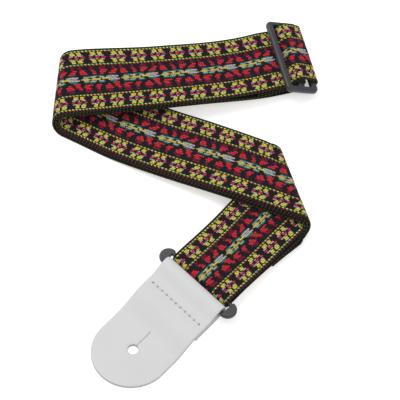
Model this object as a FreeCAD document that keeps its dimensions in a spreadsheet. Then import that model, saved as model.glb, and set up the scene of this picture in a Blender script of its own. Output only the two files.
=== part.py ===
"""Adjustable guitar strap with leather ends, lying folded in a Z as it is sold.

Millimetres, +Z up. The origin is the middle of the front tab's strap-button hole, on the
surface that the strap lies on. The webbing is one strip: its sewn end goes round the
slide's middle bar, it runs to the loop that carries the front tab, comes back over itself
to the slide, goes through it, and runs on as the tail that carries the rear tab.
"""
import FreeCAD, Part
import math
import os
import Sketcher
from FreeCAD import Placement, Rotation, Vector

DIMENSIONS = [
    # alias, value, what it is
    ("strap_width", 50.0, "webbing, edge to edge"),
    ("strap_thick", 1.5, "webbing"),
    ("ply_gap", 0.3, "air between two layers of webbing"),
    ("fold_one_radius", 7.0, "upper layer's middle round the left fold"),
    ("fold_two_radius", 2.5, "upper layer's middle round the right fold"),
    ("fold_one_skew", -16.7, "degrees that the left fold is off square"),
    ("fold_two_skew", -36.4, "degrees that the right fold is off square"),
    ("fold_one_tuck", -0.16, "how far the left fold stands out, for each mm across"),
    ("fold_two_tuck", 0.09, "how far the right fold stands out, for each mm across"),
    ("tuck_fade", 50.0, "length of a run over which its fold's tuck fades away"),
    ("fold_spacing", 187.8, "along the strip, between the fold lines"),
    ("slide_run", 156.7, "left fold line to the slide's middle bar"),
    ("loop_run", 98.5, "right fold line to the loop's rear bar"),
    ("top_heading", 184.2, "degrees, the way the top run goes into the left fold"),
    ("top_bend", 13.7, "degrees that the top run bends towards the slide"),
    ("middle_bend", 5.1, "degrees that the middle run bends towards the right fold"),
    ("slide_drop", 4.0, "how much lower the top run is at the slide"),
    ("front_shift", 2.2, "sideways set of the upper layer after the left fold"),
    ("tail_shift", 6.0, "sideways set of the tail after the right fold"),
    ("tail_return", 2.0, "how much of that set the tail has lost at its end"),
    ("loop_shift", 0.9, "sideways set that the upper layer adds towards the loop"),
    ("back_lift", 3.0, "how much higher the top run's back edge is, by the left fold"),
    ("flap_length", 30.0, "sewn end of the webbing beyond the slide's middle bar"),
    ("slide_width", 62.0, "slide, across the strap"),
    ("loop_width", 68.0, "loop, across the strap"),
    ("slot_length", 54.6, "slots of the slide, across the strap"),
    ("loop_slot", 56.0, "slot of the loop, across the strap"),
    ("slide_length", 24.6, "slide, along the strap"),
    ("slide_bar", 5.0, "width of each bar of the slide"),
    ("slide_thick", 4.2, "slide"),
    ("slide_tilt", 24.0, "degrees that the slide leans down to the right"),
    ("slide_skew", 4.5, "degrees that the slide is off square to the strap"),
    ("slide_set", 1.4, "slide's middle, in front of the strap's middle"),
    ("slide_height", 9.0, "middle bar of the slide above the surface"),
    ("slide_corner", 4.0, "rounding of the slide's outer corners"),
    ("slide_edge", 1.8, "rounding of the slide's bars"),
    ("loop_bar", 3.0, "diameter of the loop's bars"),
    ("loop_pitch", 7.8, "between the axes of the loop's two bars"),
    ("loop_length", 12.0, "ends of the loop, along the strap"),
    ("loop_edge", 1.0, "rounding of the loop's ends"),
    ("loop_skew", 5.3, "degrees that the loop is off square to the strap and the tab"),
    ("hardware_play", 0.3, "air between a bar and what goes round it"),
    ("leather_thick", 2.3, "both tabs"),
    ("tab_width", 53.0, "front tab at its fold"),
    ("tab_blank", 72.0, "leather that the front tab is cut from, across"),
    ("rear_tab_width", 47.0, "rear tab, a little narrower than the webbing"),
    ("tip_radius", 26.1, "round end of the front tab"),
    ("rear_tip_radius", 23.3, "round end of the rear tab"),
    ("tab_reach", 85.8, "front tab, from the loop's bar to the tip"),
    ("hole_setback", 27.5, "centre of the button hole from the tip"),
    ("hole_diameter", 7.0, "strap-button hole"),
    ("slit_length", 12.5, "slit from the button hole towards the seam"),
    ("slit_width", 0.4, "slit"),
    ("slit_end_diameter", 0.9, "small round hole that stops the slit"),
    ("seam_setback", 17.0, "front seam from the loop's bar"),
    ("seam_width", 38.7, "first stitch to last stitch"),
    ("lower_flap", 23.0, "lower layer of the front tab, from the loop's bar"),
    ("rear_tab_length", 88.0, "rear tab"),
    ("rear_tab_start", 227.3, "rear tab's sewn edge, along the strip"),
    ("rear_tab_set", 3.5, "rear tab's middle, to the left of the tail's middle"),
    ("rear_overlap", 18.0, "webbing sewn on the rear tab"),
    ("stitch_length", 3.7, "one stitch"),
    ("thread", 0.8, "sewing thread, diameter"),
]
STITCHES = 10

doc = FreeCAD.newDocument("GuitarStrap")
sheet = doc.addObject("Spreadsheet::Sheet", "Dimensions")
for row, (alias, value, note) in enumerate(DIMENSIONS, start=1):
    sheet.set(f"A{row}", alias)
    sheet.set(f"B{row}", str(value))
    sheet.set(f"C{row}", note)
    sheet.setAlias(f"B{row}", alias)
doc.recompute()


def dim(alias):
    return float(sheet.get(alias))


def radians(alias):
    return math.radians(dim(alias))


def smooth(t):
    """0 before 0, 1 after 1, and an S between."""
    t = min(max(t, 0.0), 1.0)
    return t * t * (3 - 2 * t)


# ---------------------------------------------------------------------------------------
# How the strip lies. A point of the strap has three numbers: s along the strip from the
# left fold line (below 0 towards the slide), v across it (above 0 is the front edge), and
# n, its height off the middle of the upper layer, towards the pattern.

HALF = dim("strap_width") / 2
PITCH = dim("strap_thick") + dim("ply_gap")
FOLD_ONE, FOLD_TWO = 0.0, dim("fold_spacing")
SLIDE_AT, LOOP_AT = -dim("slide_run"), FOLD_TWO + dim("loop_run")
RADIUS_ONE, RADIUS_TWO = dim("fold_one_radius"), dim("fold_two_radius")
SKEW_ONE, SKEW_TWO = radians("fold_one_skew"), radians("fold_two_skew")
BEND_LENGTH = dim("slide_run") - 25.0
SLIDE_SLANT, LOOP_SLANT = math.tan(radians("slide_skew")), math.tan(radians("loop_skew"))
LOW = dim("strap_thick") / 2
LEATHER_STEP = dim("leather_thick") + 0.05


def heading(angle):
    return Vector(math.cos(angle), math.sin(angle), 0)


TOP = heading(radians("top_heading"))
TOP_SIDE = heading(radians("top_heading") + math.pi / 2)
MIDDLE_ANGLE = radians("top_heading") + 2 * SKEW_ONE + math.pi
MIDDLE = heading(MIDDLE_ANGLE)
MIDDLE_LEFT = heading(MIDDLE_ANGLE + math.pi / 2)
ACROSS_ONE = heading(radians("top_heading") + SKEW_ONE)
ACROSS_TWO = heading(MIDDLE_ANGLE - SKEW_TWO)


def rise(s):
    """Height of the strip's path, beyond what its two folds add or take away."""
    to_slide = smooth((-s - 70.0) / 65.0)
    over_lowest_run = smooth((s - 58.0) / 110.0)
    onto_rear_tab = smooth((s - dim("rear_tab_start") + 34.0) / 20.0)
    return (
        -dim("slide_drop") * to_slide
        + (2 * PITCH + 2 * RADIUS_TWO) * over_lowest_run
        + LEATHER_STEP * onto_rear_tab
    )


def roll(past, radius, n):
    """(way forward, height) of a strip that is past a fold line and turns under itself."""
    if past <= 0:
        return past, n
    if past >= math.pi * radius:
        return math.pi * radius - past, -2 * radius - n
    angle = past / radius
    return (radius + n) * math.sin(angle), (radius + n) * math.cos(angle) - radius


def tuck(alias, past, radius, v):
    """How far a soft fold stands out at v; this fades away along both of its runs."""
    beyond = max(-past, past - math.pi * radius, 0.0)
    return dim(alias) * v * smooth(1 - beyond / dim("tuck_fade"))


def lifted(s, v, past):
    """How much higher the strip lies at v because the left fold stands up at its back."""
    share = smooth((s + 105.0) / 85.0) * smooth(1 - past / (math.pi * RADIUS_ONE))
    return dim("back_lift") * (0.5 - v / dim("strap_width")) * share


def bent_top(s, v):
    """Plan of the top run, which bends a little towards the slide."""
    out = -s
    bent = min(max(out, 0.0), BEND_LENGTH)
    bend = radians("top_bend")
    turn = bend * (bent / BEND_LENGTH) ** 2
    along = bent + (out - bent) * math.cos(turn)
    aside = bend * bent**3 / (3 * BEND_LENGTH**2) + (out - bent) * math.sin(turn)
    side = heading(radians("top_heading") + math.pi / 2 + turn)
    return TOP * -along - TOP_SIDE * aside + side * v


def bent_middle(point):
    """Plan of the middle run, and of all that follows it, with the run's slight bend."""
    along, aside = point.dot(MIDDLE), point.dot(MIDDLE_LEFT)
    length = FOLD_TWO - math.pi * RADIUS_ONE / math.cos(SKEW_ONE) - 45.0
    bend = radians("middle_bend")
    bent = min(max(along, 0.0), length)
    turn = bend * bent / length
    rest = along - bent
    x = bent + rest * math.cos(turn) - aside * math.sin(turn)
    y = bend * bent**2 / (2 * length) + rest * math.sin(turn) + aside * math.cos(turn)
    return MIDDLE * x + MIDDLE_LEFT * y


def lie(s, v, n):
    """The place of a point of the strap, from the middle of the left fold line."""
    past = s * math.cos(SKEW_ONE) + v * math.sin(SKEW_ONE)
    forward, up = roll(past, RADIUS_ONE, n)
    height = LOW + 2 * RADIUS_ONE + rise(s) + lifted(s, v, past)
    out = tuck("fold_one_tuck", past, RADIUS_ONE, v)
    if past < 0:
        return bent_top(s, v) + ACROSS_ONE * out + Vector(0, 0, height + n)
    point = TOP * s + TOP_SIDE * v + ACROSS_ONE * (forward - past + out)
    if past < math.pi * RADIUS_ONE:
        return bent_middle(point) + Vector(0, 0, height + up)
    past = (s - FOLD_TWO) * math.cos(SKEW_TWO) + v * math.sin(SKEW_TWO)
    forward, up = roll(past, RADIUS_TWO, -n)
    out = tuck("fold_two_tuck", past, RADIUS_TWO, v)
    point = point + ACROSS_TWO * (forward - past + out)
    return bent_middle(point) + Vector(0, 0, height - 2 * RADIUS_ONE + up)


def slant(s):
    """How much s changes per millimetre across: cuts are parallel to the nearest fold or bar."""
    one, two = -math.tan(SKEW_ONE), -math.tan(SKEW_TWO)
    if s < 28.0:
        return SLIDE_SLANT + (one - SLIDE_SLANT) * min(max((s + 125.0) / 108.0, 0.0), 1.0)
    if s < FOLD_TWO + 10.0:
        return one + (two - one) * min(max((s - 28.0) / (FOLD_TWO - 42.0), 0.0), 1.0)
    return LOOP_SLANT + (two - LOOP_SLANT) * max(1 - (s - FOLD_TWO - 10.0) / 36.0, 0.0)


# ---------------------------------------------------------------------------------------
# The hardware that the strip goes round, in (s, n).

BAR_PITCH = (dim("slide_length") - dim("slide_bar")) / 2
SLIDE_LEVEL = LOW + 2 * RADIUS_ONE - dim("slide_drop")
LOOP_LEVEL = LOW + 2 * PITCH + LEATHER_STEP
SLIDE_WRAP = dim("slide_bar") / 2 + dim("hardware_play") + LOW
LOOP_WRAP = dim("loop_bar") / 2 + dim("hardware_play") + LOW
TILT = radians("slide_tilt")


def slide_bar(index):
    """The slide's left (-1), middle (0) or right (1) bar; it leans down to the right."""
    s = SLIDE_AT - index * BAR_PITCH * math.cos(TILT) / math.cos(radians("slide_skew"))
    z = dim("slide_height") - index * BAR_PITCH * math.sin(TILT)
    return s, z - SLIDE_LEVEL


# ---------------------------------------------------------------------------------------
# The strip's course, as stations (s, n, angle of its pattern side, sideways set).
# The upper layer runs from the loop to the slide, the middle one lies under it, and the
# tail under both; each fold pushes them a little apart sideways.


def upper_side(s):
    to_loop = dim("loop_shift") * smooth((s - FOLD_TWO - 35) / 50)
    return dim("front_shift") * smooth((s + 10) / 35) + to_loop


def middle_side(s):
    half, more = dim("front_shift") / 2, dim("tail_shift") / 2
    end = half + dim("loop_shift")
    after_two = smooth((s - FOLD_TWO + 5) / 30)
    to_loop = smooth((s - FOLD_TWO - 35) / 50)
    return half * smooth((s + 10) / 35) + more * after_two + (end - more) * to_loop


def tail_side(s):
    lost = dim("tail_return") * min(max((s - FOLD_TWO - 20) / 37, 0.0), 1.0)
    return dim("tail_shift") * smooth((s - FOLD_TWO + 5) / 30) - lost


def upper_level(s):
    return LOOP_WRAP * smooth((s - LOOP_AT + 42) / 42)


def middle_level(s):
    at_slide = slide_bar(0)[1] - SLIDE_WRAP + PITCH
    to_slide = smooth((SLIDE_AT + 58 - s) / 28)
    return -PITCH + at_slide * to_slide + (PITCH - LOOP_WRAP) * smooth((s - LOOP_AT + 42) / 42)


def tail_level(s):
    at_slide = slide_bar(1)[1] - SLIDE_WRAP + 2 * PITCH
    return -2 * PITCH + at_slide * smooth((SLIDE_AT + 65 - s) / 65)


def stops(start, end):
    """Places along a run: close together round the folds, further apart between them."""
    places, s = [], min(start, end)
    while s < max(start, end) - 1.0:
        places.append(s)
        if -3 < s < math.pi * RADIUS_ONE + 6:
            s += 2.2
        elif -3 < s - FOLD_TWO < math.pi * RADIUS_TWO + 4:
            s += 1.3
        else:
            s += 9.0
    places.append(max(start, end))
    return places if start < end else places[::-1]


def run(start, end, level, side, face):
    return [(s, level(s), face, side(s)) for s in stops(start, end)]


def turn(centre, radius, start, end, side=0.0, faces_bar=False):
    """Stations round a bar, between two directions in (s, n), in degrees."""
    steps = int(abs(end - start) / 20) + 1
    stations = []
    for i in range(steps + 1):
        angle = start + (end - start) * i / steps
        s = centre[0] + radius * math.cos(math.radians(angle))
        n = centre[1] + radius * math.sin(math.radians(angle))
        stations.append((s, n, angle + (180 if faces_bar else 0), side))
    return stations


def webbing_course():
    left, middle, right = slide_bar(-1), slide_bar(0), slide_bar(1)
    near, far = SLIDE_WRAP, SLIDE_WRAP + PITCH
    tilt = dim("slide_tilt")
    # a layer leaves the left bar's underside, crosses to the middle bar's top and goes
    # over to the right bar; these are the directions where it touches the bars
    cross = tilt + math.degrees(math.acos((near + far) / BAR_PITCH))
    over = 180 + tilt - math.degrees(math.acos((far - near) / BAR_PITCH))
    sewn_end = SLIDE_AT + dim("flap_length")
    tail_end = dim("rear_tab_start") + dim("rear_overlap")
    return (
        [(sewn_end, left[1] - far, 90, 0.0)]
        + turn(left, far, 270, cross + 180, faces_bar=True)
        + turn(middle, near, cross, 270)
        + run(SLIDE_AT + 8, LOOP_AT - 2, middle_level, middle_side, -90)
        + turn((LOOP_AT, 0.0), LOOP_WRAP, -90, 90, upper_side(LOOP_AT))
        + run(LOOP_AT - 2, SLIDE_AT + 20, upper_level, upper_side, 90)
        + turn(left, near, 270, cross + 180, faces_bar=True)
        + turn(middle, far, cross, over)
        + turn(right, near, over, 270)
        + run(SLIDE_AT - 2, tail_end, tail_level, tail_side, -90)
    )


def section(station, origin):
    """The strip's cut at one station: a rectangle that is parallel to the nearest fold."""
    s, n, face, side = station
    face = math.radians(face)
    corners = []
    for lift, edge in ((LOW, -HALF), (LOW, HALF), (-LOW, HALF), (-LOW, -HALF)):
        at = s + lift * math.cos(face) + edge * slant(s)
        corners.append(lie(at, side + edge, n + lift * math.sin(face)) - origin)
    return Part.makePolygon(corners + corners[:1])


# ---------------------------------------------------------------------------------------
# Where the hardware and the tabs stand. Each has its own frame: +X along the strip, away
# from the slide for the tabs and the loop, +Y across it, and +Z up.


def frame_at(s, side, height, backwards=False):
    """(place, heading in degrees) of the strip's middle at s."""
    here, ahead = lie(s, side, 0), lie(s + 1.0, side, 0)
    angle = math.degrees(math.atan2(ahead.y - here.y, ahead.x - here.x))
    return Vector(here.x, here.y, height), angle + (180 if backwards else 0)


SIDE = upper_side(LOOP_AT)
loop_place, end_angle = frame_at(LOOP_AT, SIDE, LOOP_LEVEL)
loop_angle = end_angle - dim("loop_skew")
END = heading(math.radians(end_angle))
FRONT_BAR = loop_place + heading(math.radians(loop_angle)) * dim("loop_pitch")
TIP_RUN = dim("tab_reach") - dim("hole_setback")
ORIGIN = FRONT_BAR + END * TIP_RUN - Vector(0, 0, loop_place.z)


def placement(place, angle, tilt=0.0):
    turned = Rotation(Vector(0, 0, 1), angle).multiply(Rotation(Vector(0, 1, 0), tilt))
    return Placement(place - ORIGIN, turned)


# ---------------------------------------------------------------------------------------
# Pieces


def plane(body, role):
    return next(f for f in body.Origin.OriginFeatures if f.Role == role)


def new_body(label):
    body = doc.addObject("PartDesign::Body", label)
    body.Label = label
    return body


def new_sketch(body, name, role, height=0.0):
    sketch = body.newObject("Sketcher::SketchObject", name)
    sketch.AttachmentSupport = [(plane(body, role), "")]
    sketch.MapMode = "FlatFace"
    sketch.AttachmentOffset = Placement(Vector(0, 0, height), Rotation())
    return sketch


def leant(point, lean):
    """A point of a sketch, turned about the sketch's origin by lean degrees."""
    return Rotation(Vector(0, 0, 1), lean).multVec(point)


def outline(sketch, points):
    """A closed outline of straight lines and, where a point is a triple, of arcs."""
    ends = [p[-1] if isinstance(p, tuple) else p for p in points]
    for i, point in enumerate(points):
        start = ends[i - 1]
        if isinstance(point, tuple):
            sketch.addGeometry(Part.Arc(start, point[0], point[1]), False)
        else:
            sketch.addGeometry(Part.LineSegment(start, point), False)


def rectangle(sketch, width, height, centre_x=0.0, lean=0.0):
    x, y = width / 2, height / 2
    corners = [(-x, -y), (x, -y), (x, y), (-x, y)]
    outline(sketch, [leant(Vector(centre_x + a, b, 0), lean) for a, b in corners])


def circle(sketch, x, alias, lean=0.0):
    centre = leant(Vector(x, 0, 0), lean)
    at = sketch.addGeometry(Part.Circle(centre, Vector(0, 0, 1), dim(alias) / 2), False)
    radius = sketch.addConstraint(Sketcher.Constraint("Radius", at, dim(alias) / 2))
    sketch.setExpression(f"Constraints[{radius}]", f"Dimensions.{alias} / 2")


def pad(body, sketch, alias):
    feature = body.newObject("PartDesign::Pad", sketch.Name + "Pad")
    feature.Profile = sketch
    feature.setExpression("Length", f"Dimensions.{alias}")
    feature.Midplane = True
    return feature


def cut_through(body, sketch):
    feature = body.newObject("PartDesign::Pocket", sketch.Name + "Pocket")
    feature.Profile = sketch
    feature.Type = "ThroughAll"
    feature.Midplane = True
    return feature


def make_webbing():
    webbing = doc.addObject("Part::Feature", "webbing")
    sections = [section(station, ORIGIN) for station in webbing_course()]
    webbing.Shape = Part.makeLoft(sections, True, True)
    return webbing


def make_slide():
    """A flat frame with two slots; the webbing goes round its middle and right bars."""
    body = new_body("slide")
    blank = new_sketch(body, "SlideBlank", "XY_Plane")
    rectangle(blank, dim("slide_length"), dim("slide_width"))
    pad(body, blank, "slide_thick")
    slot = dim("slide_length") / 2 - dim("slide_bar") * 1.5
    for side, name in ((-1, "LeftSlot"), (1, "RightSlot")):
        cut = new_sketch(body, name, "XY_Plane")
        rectangle(cut, slot, dim("slot_length"), side * (dim("slide_bar") + slot) / 2)
        pocket = cut_through(body, cut)
    doc.recompute()
    corners = [
        f"Edge{i}" for i, edge in enumerate(pocket.Shape.Edges, start=1)
        if abs(edge.BoundBox.ZLength - dim("slide_thick")) < 1e-6
        and abs(abs(edge.BoundBox.Center.x) - dim("slide_length") / 2) < 1e-6
    ]
    rounded = body.newObject("PartDesign::Fillet", "SlideCorners")
    rounded.Base = (pocket, corners)
    rounded.setExpression("Radius", "Dimensions.slide_corner")
    doc.recompute()
    straight = dim("slide_width") - 2 * dim("slide_corner")
    bars = [
        f"Edge{i}" for i, edge in enumerate(rounded.Shape.Edges, start=1)
        if any(abs(edge.BoundBox.YLength - long) < 1e-6 for long in (dim("slot_length"), straight))
    ]
    soft = body.newObject("PartDesign::Fillet", "BarEdges")
    soft.Base = (rounded, bars)
    soft.setExpression("Radius", "Dimensions.slide_edge")
    aside = dim("slide_set")
    at = SLIDE_AT + aside * SLIDE_SLANT
    place, angle = frame_at(at, aside, dim("slide_height"), backwards=True)
    body.Placement = placement(place, angle - dim("slide_skew"), dim("slide_tilt"))
    return body


def make_loop():
    """Two round bars with deep rounded ends: the webbing is on one, the tab on the other."""
    body = new_body("loop")
    pitch = dim("loop_pitch")
    middle = pitch / 2
    half, inner = dim("loop_width") / 2, dim("loop_slot") / 2
    for name, x in (("RearBar", 0.0), ("FrontBar", pitch)):
        rod = new_sketch(body, name, "XZ_Plane")
        circle(rod, x, "loop_bar")
        pad(body, rod, "loop_slot")
    for side, name in ((-1, "RightEnd"), (1, "LeftEnd")):
        end = new_sketch(body, name, "XY_Plane")
        x0, x1 = middle - dim("loop_length") / 2, middle + dim("loop_length") / 2
        near, far, knee = side * (inner - 0.5), side * half, side * (inner + 1.0)
        outline(end, [
            Vector(x0, near, 0), Vector(x0, knee, 0),
            (Vector(middle, far, 0), Vector(x1, knee, 0)), Vector(x1, near, 0),
        ])
        last = pad(body, end, "loop_bar")
    doc.recompute()
    arcs = [
        f"Edge{i}" for i, edge in enumerate(last.Shape.Edges, start=1)
        if isinstance(edge.Curve, Part.Circle) and edge.BoundBox.ZLength < 1e-6
        and abs(edge.BoundBox.Center.y) > inner
    ]
    soft = body.newObject("PartDesign::Fillet", "LoopEdges")
    soft.Base = (last, arcs)
    soft.setExpression("Radius", "Dimensions.loop_edge")
    doc.recompute()
    body.Placement = placement(loop_place, loop_angle)
    return body


def tab_outline(sketch, start, half_width, tip, radius, lean=0.0):
    """A tab's outline: straight sides from its straight edge to its round tip."""
    centre = tip - radius
    right, left = (centre, -radius), (centre, radius)
    corners = [(start, -half_width), right, (tip, 0.0), left, (start, half_width)]
    first, second, top, third, last = [leant(Vector(*at, 0), lean) for at in corners]
    outline(sketch, [first, second, (top, third), last])


def button_hole(body, name, x, lean=0.0):
    """The round hole for the strap button, its slit, and the slit's round end."""
    hole = new_sketch(body, name + "Hole", "XY_Plane")
    circle(hole, x, "hole_diameter", lean)
    cut_through(body, hole)
    end = x - dim("hole_diameter") / 2 - dim("slit_length")
    slit = new_sketch(body, name + "Slit", "XY_Plane")
    rectangle(slit, dim("slit_length") + 1.0, dim("slit_width"), (end + x - 2.5) / 2, lean)
    cut_through(body, slit)
    stop = new_sketch(body, name + "SlitEnd", "XY_Plane")
    circle(stop, end, "slit_end_diameter", lean)
    return cut_through(body, stop)


def upper_middle(x):
    """Height, off the loop's bar, of the middle of the front tab's upper layer."""
    thick = dim("leather_thick")
    at_bar = dim("loop_bar") / 2 + dim("hardware_play") + thick / 2
    at_seam = -at_bar + thick + 0.1
    flat = thick / 2 - LOOP_LEVEL
    return (
        at_bar
        + (at_seam - at_bar) * smooth(x / 14.0)
        + (flat - at_seam) * smooth((x - dim("lower_flap")) / 23.0)
    )


def make_front_tab():
    """One piece of leather, folded round the loop's front bar and sewn to itself.

    Its frame follows the bar, and the tab leans in it so as to stay in line with the strap."""
    thick = dim("leather_thick")
    outer = dim("loop_bar") / 2 + dim("hardware_play") + thick
    inner = outer - thick
    tip, flap = dim("tab_reach"), dim("lower_flap")
    xs = [i * 2.0 for i in range(1, int(flap / 2) + 13)] + [tip - dim("tip_radius"), tip + 1]
    top, under = [], []
    for x in xs:
        slope = math.atan((upper_middle(x + 0.5) - upper_middle(x - 0.5)))
        shift = Vector(-math.sin(slope), math.cos(slope), 0) * (thick / 2)
        middle = Vector(x, upper_middle(x), 0)
        top.append(middle + shift)
        under.append(middle - shift)
    body = new_body("front_tab")
    side = new_sketch(body, "FoldedSide", "XZ_Plane")
    outline(side, top + under[::-1] + [
        Vector(0, inner, 0),
        (Vector(-inner, 0, 0), Vector(0, -inner, 0)),
        Vector(flap, -inner, 0),
        Vector(flap, -outer, 0),
        Vector(0, -outer, 0),
        (Vector(-outer, 0, 0), Vector(0, outer, 0)),
    ])
    pad(body, side, "tab_blank")
    around = new_sketch(body, "Outline", "XY_Plane")
    lean = dim("loop_skew")
    half_width = dim("tab_width") / 2
    tab_outline(around, -outer - 4, half_width, tip, dim("tip_radius"), lean)
    rectangle(around, 3 * tip, 2 * dim("tab_blank"))
    cut_through(body, around)
    button_hole(body, "Front", TIP_RUN, lean)
    body.Placement = placement(FRONT_BAR, loop_angle)
    return body


def make_rear_tab():
    """A flat piece of leather that is sewn under the end of the tail."""
    body = new_body("rear_tab")
    blank = new_sketch(body, "RearBlank", "XY_Plane")
    length = dim("rear_tab_length")
    tab_outline(blank, 0.0, dim("rear_tab_width") / 2, length, dim("rear_tip_radius"))
    pad(body, blank, "leather_thick")
    button_hole(body, "Rear", length - dim("hole_setback"))
    start = dim("rear_tab_start")
    side = tail_side(start) - dim("rear_tab_set")
    place, angle = frame_at(start, side, dim("leather_thick") / 2)
    body.Placement = placement(place, angle)
    return body


def make_seam(label, width, places):
    """Rows of stitches, each a short thread that lies along the row."""
    seam = doc.addObject("Part::Feature", label)
    length, radius = dim("stitch_length"), dim("thread") / 2
    stitches = []
    for place, angle in places:
        side = heading(math.radians(angle + 90))
        for i in range(STITCHES):
            middle = place - ORIGIN + side * (width * (i / (STITCHES - 1) - 0.5))
            start = middle - side * (length / 2)
            stitches.append(Part.makeCylinder(radius, length, start, side))
    seam.Shape = Part.makeCompound(stitches)
    return seam


def front_seam():
    x = dim("seam_setback")
    place = FRONT_BAR + END * (x / math.cos(radians("loop_skew")))
    place.z = LOOP_LEVEL + upper_middle(x) + dim("leather_thick") / 2 + 0.1
    return make_seam("front_tab_seam", dim("seam_width"), [(place, loop_angle)])


def seam_on_strip(label, rows, level, side):
    """A seam whose threads are bedded in the webbing's upper side."""
    places = []
    for s in rows:
        here = lie(s, side(s), level(s) + LOW - 0.25)
        _, angle = frame_at(s, side(s), 0)
        places.append((here, angle))
    return make_seam(label, dim("seam_width"), places)


def rear_seam():
    start = dim("rear_tab_start")
    return seam_on_strip("rear_tab_seam", (start + 5, start + 13), tail_level, tail_side)


def slide_seam():
    at = SLIDE_AT + dim("flap_length")
    flap_level = slide_bar(-1)[1] - SLIDE_WRAP - PITCH
    return seam_on_strip("slide_end_seam", (at - 4, at - 9), lambda s: flap_level, lambda s: 0.0)


nodes = [
    make_webbing(),
    make_slide(),
    make_loop(),
    make_front_tab(),
    front_seam(),
    make_rear_tab(),
    rear_seam(),
    slide_seam(),
]
doc.recompute()

for item in doc.Objects:
    failed = [state for state in item.State if state in ("Invalid", "Error")]
    if failed:
        raise RuntimeError(f"{item.Label}: {failed}")
os.makedirs("parts", exist_ok=True)
for node in nodes:
    if node.Shape.isNull() or not node.Shape.isValid():
        raise RuntimeError(f"{node.Label} has no valid shape")
    box = node.Shape.BoundBox
    print(
        f"{node.Label:16} {len(node.Shape.Solids):3} solids {node.Shape.Volume / 1000:8.2f} cm3"
        f"  x {box.XMin:7.1f} {box.XMax:7.1f}  y {box.YMin:7.1f} {box.YMax:7.1f}"
        f"  z {box.ZMin:6.2f} {box.ZMax:6.2f}"
    )
    node.Shape.exportStep(f"parts/{node.Label}.step")
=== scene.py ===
"""Looks of an adjustable guitar strap that lies folded in a Z.

The layout is worked out in millimetres, as in the part's source, and meshes are made in
metres. The webbing is one strip, shown as three layers that lie on each other: the middle
layer goes from the slide to the loop, the upper one comes back over it, and the tail goes
on under both. Two folds turn the stack over.
"""
import math

import bpy
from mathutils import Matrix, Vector, noise
from mathutils.geometry import delaunay_2d_cdt


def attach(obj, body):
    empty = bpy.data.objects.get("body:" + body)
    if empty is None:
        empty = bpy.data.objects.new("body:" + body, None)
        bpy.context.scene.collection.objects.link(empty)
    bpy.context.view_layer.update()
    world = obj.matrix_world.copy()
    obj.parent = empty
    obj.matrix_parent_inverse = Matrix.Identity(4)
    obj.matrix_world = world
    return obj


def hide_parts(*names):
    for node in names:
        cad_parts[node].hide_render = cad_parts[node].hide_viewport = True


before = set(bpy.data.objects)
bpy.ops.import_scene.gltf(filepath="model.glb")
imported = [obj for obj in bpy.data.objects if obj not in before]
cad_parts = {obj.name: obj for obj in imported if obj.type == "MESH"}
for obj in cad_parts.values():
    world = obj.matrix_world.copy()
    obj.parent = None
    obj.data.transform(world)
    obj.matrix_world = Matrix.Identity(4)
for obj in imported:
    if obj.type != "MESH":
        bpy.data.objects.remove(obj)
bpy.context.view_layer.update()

MM = 0.001

# ---------------------------------------------------------------------------------------
# Sizes, in millimetres and degrees

STRAP_WIDTH, STRAP_THICK, PLY_GAP = 50.0, 1.5, 0.3
FOLD_ONE_RADIUS, FOLD_TWO_RADIUS = 7.0, 2.5
FOLD_ONE_SKEW, FOLD_TWO_SKEW = math.radians(-16.7), math.radians(-36.4)
FOLD_ONE_TUCK, FOLD_TWO_TUCK, TUCK_FADE = -0.16, 0.09, 50.0
FOLD_ONE, FOLD_TWO = 0.0, 187.8
SLIDE_RUN, LOOP_RUN = 156.7, 98.5
SLIDE_AT, LOOP_AT = FOLD_ONE - SLIDE_RUN, FOLD_TWO + LOOP_RUN
TOP_HEADING, TOP_BEND = math.radians(184.2), math.radians(13.7)
MIDDLE_BEND = math.radians(5.1)
TOP_STRAIGHT, MIDDLE_STRAIGHT = 25.0, 45.0
BEND_LENGTH = SLIDE_RUN - TOP_STRAIGHT
SLIDE_DROP, BACK_LIFT = 4.0, 3.0
FRONT_SHIFT, LOOP_SHIFT, TAIL_SHIFT, TAIL_RETURN = 2.2, 0.9, 6.0, 2.0
FLAP_LENGTH = 30.0
SLIDE_LENGTH, SLIDE_BAR, SLIDE_TILT, SLIDE_HEIGHT = 24.6, 5.0, 24.0, 9.0
LOOP_BAR, LOOP_PITCH, HARDWARE_PLAY = 3.0, 7.8, 0.3
SLIDE_SKEW, LOOP_SKEW = math.radians(4.5), math.radians(5.3)
SLIDE_SLANT, LOOP_SLANT = math.tan(SLIDE_SKEW), math.tan(LOOP_SKEW)
LEATHER, TAB_WIDTH, REAR_TAB_WIDTH = 2.3, 53.0, 47.0
TIP_RADIUS, REAR_TIP_RADIUS = 26.1, 23.3
TAB_REACH, HOLE_SETBACK, HOLE_RADIUS = 85.8, 27.5, 3.5
SLIT_LENGTH, SLIT_WIDTH, SLIT_END_RADIUS = 12.5, 0.16, 0.3
SEAM_SETBACK, SEAM_WIDTH, LOWER_FLAP = 17.0, 38.7, 23.0
REAR_TAB_LENGTH, REAR_TAB_START, REAR_TAB_SET, REAR_OVERLAP = 88.0, 227.3, 3.5, 18.0
STITCHES, STITCH_LENGTH, THREAD = 10, 4.1, 0.8
REAR_SEAM_ROWS, SLIDE_SEAM_ROWS = (5.0, 13.0), (4.0, 9.0)

HALF = STRAP_WIDTH / 2
PITCH = STRAP_THICK + PLY_GAP
LOW = STRAP_THICK / 2
LEATHER_STEP = LEATHER + 0.05
LOOP_RAMP = 42.0
BAR_PITCH = (SLIDE_LENGTH - SLIDE_BAR) / 2
SLIDE_LEVEL = LOW + 2 * FOLD_ONE_RADIUS - SLIDE_DROP
LOOP_LEVEL = LOW + 2 * PITCH + LEATHER_STEP
SLIDE_WRAP = SLIDE_BAR / 2 + HARDWARE_PLAY + LOW
LOOP_WRAP = LOOP_BAR / 2 + HARDWARE_PLAY + LOW

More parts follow.
